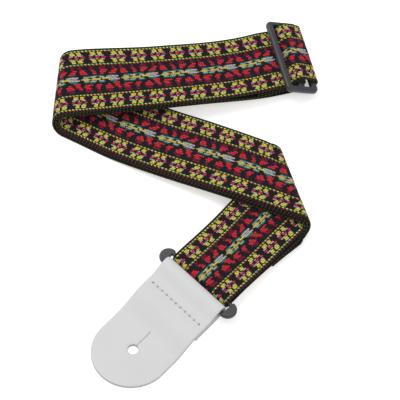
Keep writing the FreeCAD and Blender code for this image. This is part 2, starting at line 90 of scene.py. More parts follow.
# the jacquard's repeat and its threads
MOTIF, FLOWER = 27.4, 13.7
ROW, THREAD_PITCH, PICK, FLOAT = 1.3, 0.65, 0.685, 2.74

# where each layer's pattern starts, and how much of the repeat's length it has
PATTERN = {
    "webbing_middle": (0.0, 1.0),
    "webbing_upper": (-3.4, 1.0),
    "webbing_tail": (19.8, 0.925),
}

# the webbing's soft waves: height, lengths along and across, and how far they are raised
# before what is below zero is cut off
RIPPLE, RIPPLE_ALONG, RIPPLE_ACROSS, RIPPLE_RAISED = 0.35, 34.0, 26.0, 0.34

# triangles inside a leather tab: their pitch, and their distance from its outlines
NET_ALONG, NET_ACROSS, NET_MARGIN, NET_CLEAR = 1.3, 1.5, 0.9, 0.8

# a needle hole is a cone with a flat floor: its depth, the width of its slope, its start at
# the middle as a share of the depth, and (radius, points) of the net's rings round it
NEEDLE_DEPTH, NEEDLE_REACH, NEEDLE_FLOOR = 0.5, 0.9, 1.15
NEEDLE_RINGS = ((0.0, 1), (0.4, 6), (0.75, 9), (1.1, 12))

# millimetres of the strip in one unit of its map
MAP_UNIT = 100.0


def clamp(t):
    """t, kept between 0 and 1."""
    return min(max(t, 0.0), 1.0)


def smooth(t):
    """0 before 0, 1 after 1, and an S between."""
    t = clamp(t)
    return t * t * (3 - 2 * t)


def ramp(place, start, length):
    """0 before start, 1 from length after it, and an S between."""
    return smooth((place - start) / length)


# ---------------------------------------------------------------------------------------
# How the strip lies: s along it from the left fold, v across it (above 0 is the front
# edge), n off the upper layer's middle, towards the pattern


def heading(angle):
    return Vector((math.cos(angle), math.sin(angle), 0))


TOP, TOP_SIDE = heading(TOP_HEADING), heading(TOP_HEADING + math.pi / 2)
MIDDLE_ANGLE = TOP_HEADING + 2 * FOLD_ONE_SKEW + math.pi
MIDDLE, MIDDLE_LEFT = heading(MIDDLE_ANGLE), heading(MIDDLE_ANGLE + math.pi / 2)
ACROSS_ONE = heading(TOP_HEADING + FOLD_ONE_SKEW)
ACROSS_TWO = heading(MIDDLE_ANGLE - FOLD_TWO_SKEW)


def rise(s):
    """Height of the strip's path, beyond what its two folds add or take away."""
    return (
        -SLIDE_DROP * ramp(-s, 70.0, 65.0)
        + (2 * PITCH + 2 * FOLD_TWO_RADIUS) * ramp(s, 58.0, 110.0)
        + LEATHER_STEP * ramp(s - REAR_TAB_START, -34.0, 20.0)
    )


def roll(past, radius, n):
    """(way forward, height) of a strip that is past a fold line and turns under itself."""
    if past <= 0:
        return past, n
    if past >= math.pi * radius:
        return math.pi * radius - past, -2 * radius - n
    angle = past / radius
    return (radius + n) * math.sin(angle), (radius + n) * math.cos(angle) - radius


def tuck(share, past, radius, v):
    """How far a soft fold stands out at v; this fades away along both of its runs."""
    beyond = max(-past, past - math.pi * radius, 0.0)
    return share * v * smooth(1 - beyond / TUCK_FADE)


def lifted(s, v, past):
    """How much higher the strip lies at v because the left fold stands up at its back."""
    share = ramp(s, -105.0, 85.0) * smooth(1 - past / (math.pi * FOLD_ONE_RADIUS))
    return BACK_LIFT * (0.5 - v / STRAP_WIDTH) * share


def bent_top(s, v):
    """Plan of the top run, which bends a little towards the slide."""
    bent = min(max(-s, 0.0), BEND_LENGTH)
    turned = TOP_BEND * (bent / BEND_LENGTH) ** 2
    along = bent + (-s - bent) * math.cos(turned)
    aside = TOP_BEND * bent**3 / (3 * BEND_LENGTH**2) + (-s - bent) * math.sin(turned)
    side = heading(TOP_HEADING + math.pi / 2 + turned)
    return TOP * -along - TOP_SIDE * aside + side * v


def bent_middle(point):
    """Plan of the middle run, and of all that follows it, with the run's slight bend."""
    along, aside = point.dot(MIDDLE), point.dot(MIDDLE_LEFT)
    length = FOLD_TWO - math.pi * FOLD_ONE_RADIUS / math.cos(FOLD_ONE_SKEW) - MIDDLE_STRAIGHT
    bent = min(max(along, 0.0), length)
    turned = MIDDLE_BEND * bent / length
    rest = along - bent
    x = bent + rest * math.cos(turned) - aside * math.sin(turned)
    y = MIDDLE_BEND * bent**2 / (2 * length) + rest * math.sin(turned)
    return MIDDLE * x + MIDDLE_LEFT * (y + aside * math.cos(turned))


def lie(s, v, n):
    """The place of a point of the strap, from the middle of the left fold line."""
    past = s * math.cos(FOLD_ONE_SKEW) + v * math.sin(FOLD_ONE_SKEW)
    forward, up = roll(past, FOLD_ONE_RADIUS, n)
    height = LOW + 2 * FOLD_ONE_RADIUS + rise(s) + lifted(s, v, past)
    out = tuck(FOLD_ONE_TUCK, past, FOLD_ONE_RADIUS, v)
    if past < 0:
        return bent_top(s, v) + ACROSS_ONE * out + Vector((0, 0, height + n))
    point = TOP * s + TOP_SIDE * v + ACROSS_ONE * (forward - past + out)
    if past < math.pi * FOLD_ONE_RADIUS:
        return bent_middle(point) + Vector((0, 0, height + up))
    past = (s - FOLD_TWO) * math.cos(FOLD_TWO_SKEW) + v * math.sin(FOLD_TWO_SKEW)
    forward, up = roll(past, FOLD_TWO_RADIUS, -n)
    out = tuck(FOLD_TWO_TUCK, past, FOLD_TWO_RADIUS, v)
    point = point + ACROSS_TWO * (forward - past + out)
    return bent_middle(point) + Vector((0, 0, height - 2 * FOLD_ONE_RADIUS + up))


def slant(s):
    """How much s changes per millimetre across: cuts are parallel to the nearest fold or bar."""
    one, two = -math.tan(FOLD_ONE_SKEW), -math.tan(FOLD_TWO_SKEW)
    past_one, past_two = 28.0, 10.0
    if s < past_one:
        return SLIDE_SLANT + (one - SLIDE_SLANT) * clamp((s + 125.0) / 108.0)
    if s < FOLD_TWO + past_two:
        return one + (two - one) * clamp((s - past_one) / (FOLD_TWO - 42.0))
    return LOOP_SLANT + (two - LOOP_SLANT) * clamp(1 - (s - FOLD_TWO - past_two) / 36.0)


def slide_bar(index):
    """The slide's left (-1), middle (0) or right (1) bar; it leans down to the right."""
    tilt = math.radians(SLIDE_TILT)
    s = SLIDE_AT - index * BAR_PITCH * math.cos(tilt) / math.cos(SLIDE_SKEW)
    return s, SLIDE_HEIGHT - index * BAR_PITCH * math.sin(tilt) - SLIDE_LEVEL


def after_one(s):
    """0 before the left fold, 1 after it."""
    return ramp(s, -10.0, 35.0)


def after_two(s):
    """0 before the right fold, 1 after it."""
    return ramp(s - FOLD_TWO, -5.0, 30.0)


def to_loop(s):
    """0 until the strip is past the right fold, 1 just before the loop."""
    return ramp(s - FOLD_TWO, 35.0, 50.0)


def upper_side(s):
    """How far the upper layer's middle is set towards the front edge."""
    return FRONT_SHIFT * after_one(s) + LOOP_SHIFT * to_loop(s)


def middle_side(s):
    """The same of the middle layer, which lies between the other two."""
    half, more = FRONT_SHIFT / 2, TAIL_SHIFT / 2
    end = half + LOOP_SHIFT
    return half * after_one(s) + more * after_two(s) + (end - more) * to_loop(s)


def tail_side(s):
    """The same of the tail, which comes back a little towards its end."""
    lost = TAIL_RETURN * clamp((s - FOLD_TWO - 20) / 37)
    return TAIL_SHIFT * after_two(s) - lost


def loop_ramp(s):
    """0 well before the loop, 1 where the webbing meets its bar."""
    return ramp(s - LOOP_AT, -LOOP_RAMP, LOOP_RAMP)


def upper_level(s):
    """The upper layer's n, which grows to pass over the loop's bar."""
    return LOOP_WRAP * loop_ramp(s)


def middle_level(s):
    """The middle layer's n, from under the slide's middle bar to under the loop's bar."""
    at_slide = slide_bar(0)[1] - SLIDE_WRAP + PITCH
    to_slide = smooth((SLIDE_AT + 58 - s) / 28)
    return -PITCH + at_slide * to_slide + (PITCH - LOOP_WRAP) * loop_ramp(s)


def tail_level(s):
    """The tail's n, from under the slide's right bar to under both other layers."""
    at_slide = slide_bar(1)[1] - SLIDE_WRAP + 2 * PITCH
    return -2 * PITCH + at_slide * smooth((SLIDE_AT + 65 - s) / 65)


def frame_at(s, side):
    """(place, heading) of the strip's middle at s."""
    here, ahead = lie(s, side, 0), lie(s + 1.0, side, 0)
    return Vector((here.x, here.y, 0)), math.atan2(ahead.y - here.y, ahead.x - here.x)


LOOP_PLACE, END_ANGLE = frame_at(LOOP_AT, upper_side(LOOP_AT))
LOOP_ANGLE = END_ANGLE - LOOP_SKEW
OFF_BAR, ALONG_BAR = heading(LOOP_ANGLE), heading(LOOP_ANGLE + math.pi / 2)
FRONT_BAR = LOOP_PLACE + OFF_BAR * LOOP_PITCH
TIP_RUN = TAB_REACH - HOLE_SETBACK
ORIGIN = FRONT_BAR + heading(END_ANGLE) * TIP_RUN


# ---------------------------------------------------------------------------------------
# Node trees: a number that varies over a surface, with ordinary arithmetic


def srgb(red, green, blue):
    """Linear colour from the 0 to 255 values that a screen shows."""
    channels = []
    for value in (red, green, blue):
        value /= 255
        channels.append(value / 12.92 if value <= 0.04045 else ((value + 0.055) / 1.055) ** 2.4)
    return (*channels, 1.0)


class Field:
    """The output of a Math node, or any other float output."""

    def __init__(self, tree, socket):
        self.tree, self.socket = tree, socket

    def math(self, operation, *others):
        node = self.tree.nodes.new("ShaderNodeMath")
        node.operation = operation
        for slot, value in zip(node.inputs, (self, *others)):
            if isinstance(value, Field):
                self.tree.links.new(value.socket, slot)
            else:
                slot.default_value = value
        return Field(self.tree, node.outputs[0])

    def __add__(self, other):
        return self.math("ADD", other)

    def __sub__(self, other):
        return self.math("SUBTRACT", other)

    def __mul__(self, other):
        return self.math("MULTIPLY", other)

    def __truediv__(self, other):
        return self.math("DIVIDE", other)

    def __abs__(self):
        return self.math("ABSOLUTE")

    def near(self, centre, reach):
        """1 where the value is within reach of centre, 0 elsewhere."""
        return self.math("COMPARE", centre, reach)

    def above(self, limit):
        return self.math("GREATER_THAN", limit)

    def below(self, limit):
        return self.math("LESS_THAN", limit)

    def either(self, other):
        return self.math("MAXIMUM", other)

    def repeat(self, period):
        """The value's place within its period, from minus half to half."""
        shifted = self + period / 2
        return shifted.math("FLOORED_MODULO", period) - period / 2

    def stepped(self, pitch):
        """The value at the middle of its step."""
        return self.math("SNAP", pitch) + pitch / 2


class Material:
    """A Principled material that is built up with layers of colour."""

    def __init__(self, name, roughness, **shader):
        self.material = bpy.data.materials.new(name)
        self.material.use_nodes = True
        self.tree = self.material.node_tree
        self.shader = self.tree.nodes["Principled BSDF"]
        self.shader.inputs["Roughness"].default_value = roughness
        for key, value in shader.items():
            self.shader.inputs[key.replace("_", " ")].default_value = value

    def node(self, kind, **settings):
        made = self.tree.nodes.new(kind)
        for key, value in settings.items():
            setattr(made, key, value)
        return made

    def attribute(self, name):
        node = self.node("ShaderNodeAttribute", attribute_name=name)
        return Field(self.tree, node.outputs["Fac"])

    def strip_place(self):
        """(along, across) of the surface in millimetres, from the mesh's own map."""
        uv = self.node("ShaderNodeUVMap", uv_map="strip")
        split = self.node("ShaderNodeSeparateXYZ")
        self.tree.links.new(uv.outputs[0], split.inputs[0])
        along, across = (Field(self.tree, split.outputs[i]) for i in (0, 1))
        return along * MAP_UNIT, across * MAP_UNIT

    def noise(self, scale, detail=3.0):
        """Noise from 0 to 1, scale in cycles per metre of the object."""
        where = self.node("ShaderNodeTexCoord")
        made = self.node("ShaderNodeTexNoise")
        made.inputs["Scale"].default_value = scale
        made.inputs["Detail"].default_value = detail
        self.tree.links.new(where.outputs["Object"], made.inputs["Vector"])
        return Field(self.tree, made.outputs["Fac"])

    def cells(self, scale):
        """Distance to the nearest cell's edge, for grain."""
        where = self.node("ShaderNodeTexCoord")
        made = self.node("ShaderNodeTexVoronoi", feature="DISTANCE_TO_EDGE")
        made.inputs["Scale"].default_value = scale
        self.tree.links.new(where.outputs["Object"], made.inputs["Vector"])
        return Field(self.tree, made.outputs["Distance"])

    def mix(self, below, share, above):
        """Colour above laid over colour below; either may be a socket."""
        node = self.node("ShaderNodeMix", data_type="RGBA")
        for slot, value in ((node.inputs[6], below), (node.inputs[7], above)):
            if isinstance(value, bpy.types.NodeSocket):
                self.tree.links.new(value, slot)
            else:
                slot.default_value = value
        self.tree.links.new(share.socket, node.inputs[0])
        return node.outputs[2]

    def shade(self, colour, share):
        """The colour, darkened where share is below 1."""
        return self.mix((0, 0, 0, 1), share, colour)

    def colour(self, socket):
        self.tree.links.new(socket, self.shader.inputs["Base Color"])

    def rough(self, field):
        self.tree.links.new(field.socket, self.shader.inputs["Roughness"])

    def bump(self, height, depth, strength=1.0):
        """Relief: height from 0 to 1 stands for depth in metres."""
        node = self.node("ShaderNodeBump")
        node.inputs["Strength"].default_value = strength
        node.inputs["Distance"].default_value = depth
        self.tree.links.new(height.socket, node.inputs["Height"])
        self.tree.links.new(node.outputs[0], self.shader.inputs["Normal"])


# ---------------------------------------------------------------------------------------
# The webbing's weave

BLACK = srgb(29, 27, 31)
SOOT = srgb(52, 48, 52)
RED = srgb(250, 62, 80)
MAROON = srgb(146, 44, 70)
YELLOW = srgb(250, 238, 96)
LILAC = srgb(222, 212, 216)
GREEN = srgb(0, 158, 130)
GOLD = srgb(132, 118, 58)

FLOWER_ROW = 17.6
DOT_ROWS = (22.9, 12.0, -12.0, -22.9)
DOT_PERIOD = MOTIF / 11


def flowers(along, across):
    """(yellow, pale, red) of both rows of flowers; the front row is set back a little."""
    masks = None
    for row, shift in ((FLOWER_ROW, 0.0), (-FLOWER_ROW, 4.2)):
        f, g = (along + shift).repeat(FLOWER), across - row
        ff, gg = abs(f), abs(g)
        petal = abs(ff - 2.25) * 0.7 + abs(gg - 3.1)
        yellow = petal.below(1.9) * ff.near(2.25, 1.6) * gg.near(3.1, 1.2)
        pale = ff.near(3.2, 1.45) * gg.near(1.56, 0.4)
        pale = pale.either(ff.below(0.6) * gg.near(1.25, 0.35))
        red = ff.below(1.6).either(ff.near(4.3, 1.2)) * gg.below(0.65)
        found = (yellow, pale, red)
        masks = found if masks is None else [a.either(b) for a, b in zip(masks, found)]
    return masks


def dashes(along, across, marks):
    """One mask of straight dashes: (from, to) along the motif, and (middle, half) across."""
    mask = None
    for start, end, middle, half in marks:
        mark = along.near((start + end) / 2, (end - start) / 2) * across.near(middle, half)
        mask = mark if mask is None else mask.either(mark)
    return mask


def arrow(t, w):
    """(yellow, pale, green) of the centre line's arrow, which points towards lower t."""
    head = abs(t - 3.4).math("MULTIPLY_ADD", 0.2, abs(w)).below(0.95)
    yellow = head.either(dashes(t, w, ((7.4, 13.4, 0.0, 0.65), (14.6, 20.0, 0.4, 0.65))))
    yellow = yellow.either(t.near(8.9, 0.8) * w.near(0.4, 0.9))
    pale = dashes(t, w, (
        (1.6, 5.6, 1.4, 0.45), (6.3, 10.6, 1.9, 0.5), (12.4, 16.2, 1.6, 0.5),
        (2.0, 5.2, -1.4, 0.45), (6.3, 10.6, -1.5, 0.5), (12.3, 15.8, -1.4, 0.5),
        (17.6, 26.0, 1.7, 0.6), (19.0, 26.4, -0.5, 0.6), (20.0, 24.6, 0.6, 0.3),
    ))
    green = dashes(t, w, (
        (2.0, 6.6, 2.5, 0.42), (9.0, 15.2, 2.7, 0.42), (19.2, 23.4, 2.7, 0.42),
        (2.0, 5.2, -2.4, 0.42), (6.0, 9.4, -2.6, 0.42), (12.0, 16.2, -2.4, 0.42),
        (20.0, 25.0, -1.9, 0.42),
    ))
    return yellow, pale, green


def wedge(t, w, start, end, low, high, lean, narrow):
    """A leaning shape from start to end at its low side, which narrows towards high."""
    up = w - low
    middle = t - up * lean
    reach = up.math("MULTIPLY_ADD", -narrow, (end - start) / 2)
    inside = abs(middle - (start + end) / 2).math("LESS_THAN", reach)
    return inside * w.near((low + high) / 2, (high - low) / 2)


def oval(t, w, centre, across, half_length, half_width):
    """A round figure in the weave's steps."""
    a, b = (t - centre) / half_length, (w - across) / half_width
    return (a * a + b * b).below(1.0)


def red_figures(t, w):
    """The red shapes beside the centre line, leaning ones behind and upright ones in front."""
    shapes = [
        wedge(t, w, 1.0, 6.4, 3.4, 10.0, -0.55, 0.26),
        wedge(t, w, 8.8, 13.0, 3.4, 6.6, -0.45, 0.42),
        dashes(t, w, ((7.4, 9.2, 8.6, 1.5),)),
        oval(t, w, 15.8, 7.4, 2.6, 3.1),
        wedge(t, w, 19.4, 24.6, 3.6, 7.6, 0.5, 0.38),
        dashes(t, w, ((22.0, 24.4, 9.4, 1.2), (2.2, 7.8, -4.2, 0.9), (1.6, 6.0, -7.6, 2.6))),
        wedge(t, w * -1.0, 10.2, 14.8, 3.4, 7.8, -0.35, 0.3),
        dashes(t, w, ((10.0, 12.0, -8.6, 1.4),)),
        oval(t, w, 18.9, -7.4, 2.6, 3.1),
        wedge(t, w * -1.0, 21.4, 26.0, 3.2, 9.6, 0.5, 0.22),
    ]
    mask = shapes[0]
    for shape in shapes[1:]:
        mask = mask.either(shape)
    return mask


def dot_rows(along, across):
    """(yellow, green, red) of the four lines of small dots."""
    beat = along.repeat(DOT_PERIOD)
    masks = None
    for line in DOT_ROWS:
        yellow = across.near(line, 0.45) * abs(beat).below(0.5)
        green = across.near(line + 0.1, 0.32) * abs(beat).above(0.66)
        red = across.near(line - 0.7, 0.38) * beat.near(0.5, 0.42)
        found = (yellow, green, red)
        masks = found if masks is None else [a.either(b) for a, b in zip(masks, found)]
    return masks


def selvage_dots(along, across):
    """(gold, green) dots that the coloured threads show where they turn at the edges."""
    edge, beat = abs(across).near(HALF - 0.15, 0.3), abs(along.repeat(DOT_PERIOD))
    return edge * beat.below(0.38) * 0.7, edge * beat.above(0.95) * 0.12


def cosine(place, length):
    """Cosine of a place, which repeats after length."""
    return (place * (2 * math.pi / length)).math("COSINE")


def weave(made, along, across, row, stagger, floats, figures):
    """(height, shade) of the threads; the coloured ones float on top, in rows along the strip. The
    shade is painted: it darkens the colour in the grooves between threads and at the ends of the
    floats.
    """
    threads, picks = cosine(across, THREAD_PITCH), cosine(along + stagger, PICK)
    pairs = cosine(across, ROW).math("MULTIPLY_ADD", -0.5, 0.5)
    third = row.math("FLOORED_MODULO", 3.0) * (FLOAT / 3)
    ends = abs((along + third).repeat(FLOAT)).math("MULTIPLY_ADD", 3.4, -0.35)
    ends = ends.math("MINIMUM", 1.0).math("MAXIMUM", 0.0)
    groove = threads.math("MULTIPLY_ADD", -0.5, 0.5)
    ground = (picks * threads).math("MULTIPLY_ADD", 0.5, 0.5)
    yarn = made.noise(2600.0, 1.0)
    lift = groove * (floats * 0.5 + 0.5) * ends + ground * 0.25
    # painted shade in the grooves between threads and at the ends of the floats
    shade = groove.math("MULTIPLY_ADD", 0.3, 0.7) * (ends * 0.5 + 0.5)
    # every other row is darker, more so on the red figures: partly the black ground between rows,
    # partly painted shade where the rows dip; the yarn noise is uneven tone
    deeper = figures * 0.22
    shade = shade * (pairs * (deeper + 0.6) - deeper + 0.45) + (yarn - 0.5) * 0.25
    return lift + yarn * 0.2, shade


def jacquard():
    """Black ground with rows of coloured threads that float along the strip."""
    made = Material("jacquard", 0.9, Specular_IOR_Level=0.12)
    along, across = made.strip_place()
    pattern_side = made.attribute("pattern_side")
    front, back = pattern_side.above(0.5), pattern_side.below(-0.5)
    row = (across / ROW).math("FLOOR")
    stagger = row.math("FLOORED_MODULO", 2.0) * (PICK / 2)
    ragged = (row * 0.618).math("FRACT") - 0.5
    w = across.stepped(ROW)
    m = (along + stagger).stepped(PICK) - stagger
    t = (m + MOTIF / 2).repeat(MOTIF) + MOTIF / 2

    yellow, pale, red = flowers(m + ragged * 0.5, across)
    head, chain, green = arrow(t, across)
    figures = red_figures(t + ragged * 1.3, w) * abs(w).below(10.6)
    crimson = made.mix(RED, abs(w).above(7.6), MAROON)
    dot, between, under = dot_rows(along, across)
    gold, turned = selvage_dots(along, across)
    behind = abs(abs(across) - FLOWER_ROW).near(3.1, 1.25) * abs(m.repeat(FLOWER)).above(4.4)

    colour = made.mix(BLACK, made.noise(1500.0, 2.0), SOOT)
    for share, above in (
        (gold, GOLD), (turned, GREEN), (figures * front, crimson), (red * front, RED),
        (green * front, GREEN), (pale.either(chain) * front, LILAC),
        (yellow.either(head) * front, YELLOW), (under * front, RED),
        (between * front, GREEN), (dot * front, YELLOW), (behind * back * 0.8, GOLD),
    ):
        colour = made.mix(colour, share, above)

    floats = yellow.either(pale).either(red).either(figures).either(head).either(chain)
    height, shade = weave(made, along, across, row, stagger, floats, figures)
    # the colours, darkened by the weave's painted shade
    made.colour(made.shade(colour, shade))
    made.bump(height, 0.0002)
    return made.material


# ---------------------------------------------------------------------------------------
# Leather, plastic and thread


def leather():
    """White leather with a fine grain; its cut edges are raw and grey-brown, and its needle holes
    are darkened with painted shade.
    """
    made = Material("white_leather", 0.5, Coat_Weight=0.05, Coat_Roughness=0.5)
    raw, dark = made.attribute("raw_edge"), made.attribute("hole_dark")
    patch, fine = made.noise(28.0), made.noise(900.0)
    colour = made.mix(srgb(212, 212, 212), patch, srgb(204, 204, 205))
    fibres = made.mix(srgb(150, 140, 132), made.noise(1800.0), srgb(182, 175, 168))
    colour = made.mix(colour, raw, fibres)
    # painted shade: the needle holes turn near black, the more so the deeper they are
    colour = made.mix(colour, dark, srgb(44, 42, 42))
    made.colour(colour)
    made.rough(fine.math("MULTIPLY_ADD", 0.14, 0.42) + raw * 0.3)
    grain = made.cells(850.0).math("MULTIPLY", 3.0).math("MINIMUM", 1.0)
    made.bump(grain * 0.7 + fine * 0.6, 0.00008, 0.7)
    return made.material


def plastic():
    """Dark grey moulded plastic with a faint spark texture."""
    made = Material("dark_plastic", 0.36, IOR=1.5)
    fine, patch = made.noise(3200.0, 2.0), made.noise(90.0)
    made.colour(made.mix(srgb(44, 44, 49), patch, srgb(56, 56, 62)))
    made.rough(fine.math("MULTIPLY_ADD", 0.2, 0.28))
    made.bump(fine, 0.00003, 0.6)
    return made.material


def sewing_thread():
    """White thread with its twist; the colour is a little darker in the twist's grooves, as
    painted shade.
    """
    made = Material("white_thread", 0.7, Sheen_Weight=0.3)
    along, round_it = made.strip_place()
    twist = ((along * 2.4 + round_it) * (2 * math.pi)).math("SINE")
    twist = twist.math("MULTIPLY_ADD", 0.5, 0.5)
    # painted shade: a little darker in the twist's grooves than on its ridges
    made.colour(made.mix(srgb(208, 208, 207), twist, srgb(218, 218, 218)))
    made.bump(twist, 0.0001)
    return made.material


# ---------------------------------------------------------------------------------------
# Meshes


def make_piece(name, points, faces, material, places=None, **marks):
    """An object from points in millimetres, with its strip map and its vertex marks."""
    mesh = bpy.data.meshes.new(name)
    mesh.from_pydata([(p - ORIGIN) * MM for p in points], [], faces)
    if places:
        layer = mesh.uv_layers.new(name="strip")
        for loop in mesh.loops:
            along, across = places[loop.vertex_index]
            layer.data[loop.index].uv = (along / MAP_UNIT, across / MAP_UNIT)
    for mark, values in marks.items():
        mesh.attributes.new(mark, "FLOAT", "POINT").data.foreach_set("value", values)
    mesh.validate()
    mesh.materials.append(material)
    mesh.shade_smooth()
    piece = bpy.data.objects.new(name, mesh)
    bpy.context.scene.collection.objects.link(piece)
    return piece


def tube_faces(rings, around):
    """Quads of a closed skin over rings of points, with a cap at each end."""
    faces = []
    for i in range(rings - 1):
        for j in range(around):
            k = (j + 1) % around
            a, b = i * around, (i + 1) * around
            faces.append((a + j, a + k, b + k, b + j))
    faces.append(tuple(range(around))[::-1])
    faces.append(tuple(range((rings - 1) * around, rings * around)))
    return faces


# ---------------------------------------------------------------------------------------
# Webbing


def strip_outline():
    """The webbing's cut: (edge, lift, pattern side) round a flat strip with round selvages."""
    columns = 40
    flat = HALF - LOW
    top = [(-flat + 2 * flat * i / columns, LOW, 1.0) for i in range(columns + 1)]
    right, left = [], []
    for step in range(1, 6):
        angle = math.pi / 2 - step * math.pi / 6
        out, lift = LOW * math.cos(angle), LOW * math.sin(angle)
        side = 1.0 if lift > 0.2 else -1.0 if lift < -0.2 else 0.0
        right.append((flat + out, lift, side))
        left.append((-flat - out, -lift, -side))
    bottom = [(e, -lift, -side) for e, lift, side in top[::-1]]
    return top + right + bottom + left


STRIP_OUTLINE = strip_outline()


def stops(start, end):
    """Places along a run, closer together round the folds."""
    places, s = [], min(start, end)
    while s < max(start, end) - 0.6:
        places.append(s)
        round_one = -12 < s < math.pi * FOLD_ONE_RADIUS + 12
        round_two = -20 < s - FOLD_TWO < math.pi * FOLD_TWO_RADIUS + 20
        s += 0.6 if round_two else 1.0 if round_one else 1.6
    places.append(max(start, end))
    return places if start < end else places[::-1]


def run(start, end, level, side, face):
    """Stations of a layer from start to end, with its pattern side up (90) or down (-90)."""
    return [(s, level(s), face, side(s)) for s in stops(start, end)]


def turn(centre, radius, start, end, side=0.0, faces_bar=False):
    """Stations round a bar, between two directions in (s, n), in degrees."""
    steps = int(abs(end - start) / 8) + 1
    stations = []
    for i in range(steps + 1):
        angle = start + (end - start) * i / steps
        s = centre[0] + radius * math.cos(math.radians(angle))
        n = centre[1] + radius * math.sin(math.radians(angle))
        stations.append((s, n, angle + (180 if faces_bar else 0), side))
    return stations


def ripple(s, v):
    """The soft waviness of webbing that has been folded: the same for all its layers.

    It only lifts the strip: n points up before the left fold and after the right one."""
    past_one = s * math.cos(FOLD_ONE_SKEW) + v * math.sin(FOLD_ONE_SKEW)
    past_two = (s - FOLD_TWO) * math.cos(FOLD_TWO_SKEW) + v * math.sin(FOLD_TWO_SKEW)
    up = 1 - 2 * smooth(past_one / (math.pi * FOLD_ONE_RADIUS))
    up += 2 * smooth(past_two / (math.pi * FOLD_TWO_RADIUS))
    calm = ramp(s - SLIDE_AT, 20.0, 30.0) * smooth((LOOP_AT - 30 - s) / 30)
    wave = noise.noise(Vector((s / RIPPLE_ALONG, v / RIPPLE_ACROSS, 3.1)))
    return RIPPLE * up * calm * max(wave + RIPPLE_RAISED, 0.0)


def strip_piece(name, stations, phase, draft, material):
    """One layer of the webbing, over its stations (s, n, angle of its pattern side, set).

    Its pattern starts at phase, and the cloth's pull makes the repeat 1 / draft as long."""
    points, places, sides = [], [], []
    travelled, last = 0.0, None
    for s, n, face, side in stations:
        angle = math.radians(face)
        here = lie(s, side, n)
        travelled += (here - last).length if last is not None else 0.0
        last = here
        for edge, lift, pattern in STRIP_OUTLINE:
            shift = edge * slant(s)
            at = s + lift * math.cos(angle) + shift
            across = side + edge
            up = n + lift * math.sin(angle) + ripple(at, across)
            points.append(lie(at, across, up))
            forward = shift if stations[-1][0] > stations[0][0] else -shift
            places.append((phase + travelled * draft + forward, -edge))
            sides.append(pattern)
    faces = tube_faces(len(stations), len(STRIP_OUTLINE))
    piece = make_piece(name, points, faces, material, places, pattern_side=sides)
    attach(piece, "strap")
    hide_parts("webbing")
    travelled * MM
    return piece


def webbing(material):
    """The strip's three layers, which are one strip over the slide's bars and the loop's bar.

    cross and over are the directions round the slide's bars where it leaves one for the next,
    and split is where the middle layer ends and the upper one starts, round the loop's bar."""
    left, middle, right = slide_bar(-1), slide_bar(0), slide_bar(1)
    near, far = SLIDE_WRAP, SLIDE_WRAP + PITCH
    cross = SLIDE_TILT + math.degrees(math.acos((near + far) / BAR_PITCH))
    over = 180 + SLIDE_TILT - math.degrees(math.acos((far - near) / BAR_PITCH))
    bight, split = (LOOP_AT, 0.0), -60
    layers = {
        "webbing_middle": (
            [(SLIDE_AT + FLAP_LENGTH, left[1] - far, 90, 0.0)]
            + turn(left, far, 270, cross + 180, faces_bar=True)
            + turn(middle, near, cross, 270)
            + run(SLIDE_AT + 8, LOOP_AT - 2, middle_level, middle_side, -90)
            + turn(bight, LOOP_WRAP, -90, split, upper_side(LOOP_AT))
        ),
        "webbing_upper": (
            turn(bight, LOOP_WRAP, split, 90, upper_side(LOOP_AT))
            + run(LOOP_AT - 2, SLIDE_AT + 20, upper_level, upper_side, 90)
            + turn(left, near, 270, cross + 180, faces_bar=True)
            + turn(middle, far, cross, over)
            + turn(right, near, over, 270)
        ),
        "webbing_tail": run(
            SLIDE_AT - 2, REAR_TAB_START + REAR_OVERLAP, tail_level, tail_side, -90
        ),
    }
    for name, stations in layers.items():
        strip_piece(name, stations, *PATTERN[name], material)


# ---------------------------------------------------------------------------------------
# Leather tabs


def keyhole(x):
    """The strap-button hole at x, its slit, and the slit's round end, as one outline."""
    half = SLIT_WIDTH / 2
    end = x - HOLE_RADIUS - SLIT_LENGTH
    mouth = math.asin(half / HOLE_RADIUS)
    stop = math.asin(half / SLIT_END_RADIUS)
    outline = []
    round_hole, round_end, along = 40, 12, 12
    for i in range(round_hole + 1):
        angle = math.pi - mouth - (2 * math.pi - 2 * mouth) * i / round_hole
        outline.append((x + HOLE_RADIUS * math.cos(angle), HOLE_RADIUS * math.sin(angle)))
    for i in range(1, along):
        outline.append((x - HOLE_RADIUS - (SLIT_LENGTH - SLIT_END_RADIUS) * i / along, -half))
    for i in range(round_end + 1):
        angle = -stop - (2 * math.pi - 2 * stop) * i / round_end
        outline.append((
            end + SLIT_END_RADIUS * math.cos(angle), SLIT_END_RADIUS * math.sin(angle),
        ))
    for i in range(1, along):
        outline.append((end + SLIT_END_RADIUS + (SLIT_LENGTH - SLIT_END_RADIUS) * i / along, half))
    return outline


def tab_outline(start, half_width, tip, radius):
    """A tab's cut from its straight edge at start to its round tip, anticlockwise."""
    centre = tip - radius
    end_steps, tip_steps, side_steps = 40, 60, int((centre - start) / 1.5)

    def on_side(share, hand):
        width = half_width + (radius - half_width) * share
        return start + (centre - start) * share, hand * width

    outline = [(start, half_width - 2 * half_width * i / end_steps) for i in range(end_steps)]
    outline += [on_side(i / side_steps, -1) for i in range(side_steps)]
    for i in range(tip_steps + 1):
        angle = -math.pi / 2 + math.pi * i / tip_steps
        outline.append((centre + radius * math.cos(angle), radius * math.sin(angle)))
    return outline + [on_side(1 - i / side_steps, 1) for i in range(1, side_steps)]


def inset(outline, amount):
    """The outline moved to its left, which is inwards for one that runs anticlockwise."""
    moved = []
    for i, (x, y) in enumerate(outline):
        before, after = outline[i - 1], outline[(i + 1) % len(outline)]
        along = Vector((after[0] - before[0], after[1] - before[1])).normalized()
        moved.append((x - along.y * amount, y + along.x * amount))
    return moved


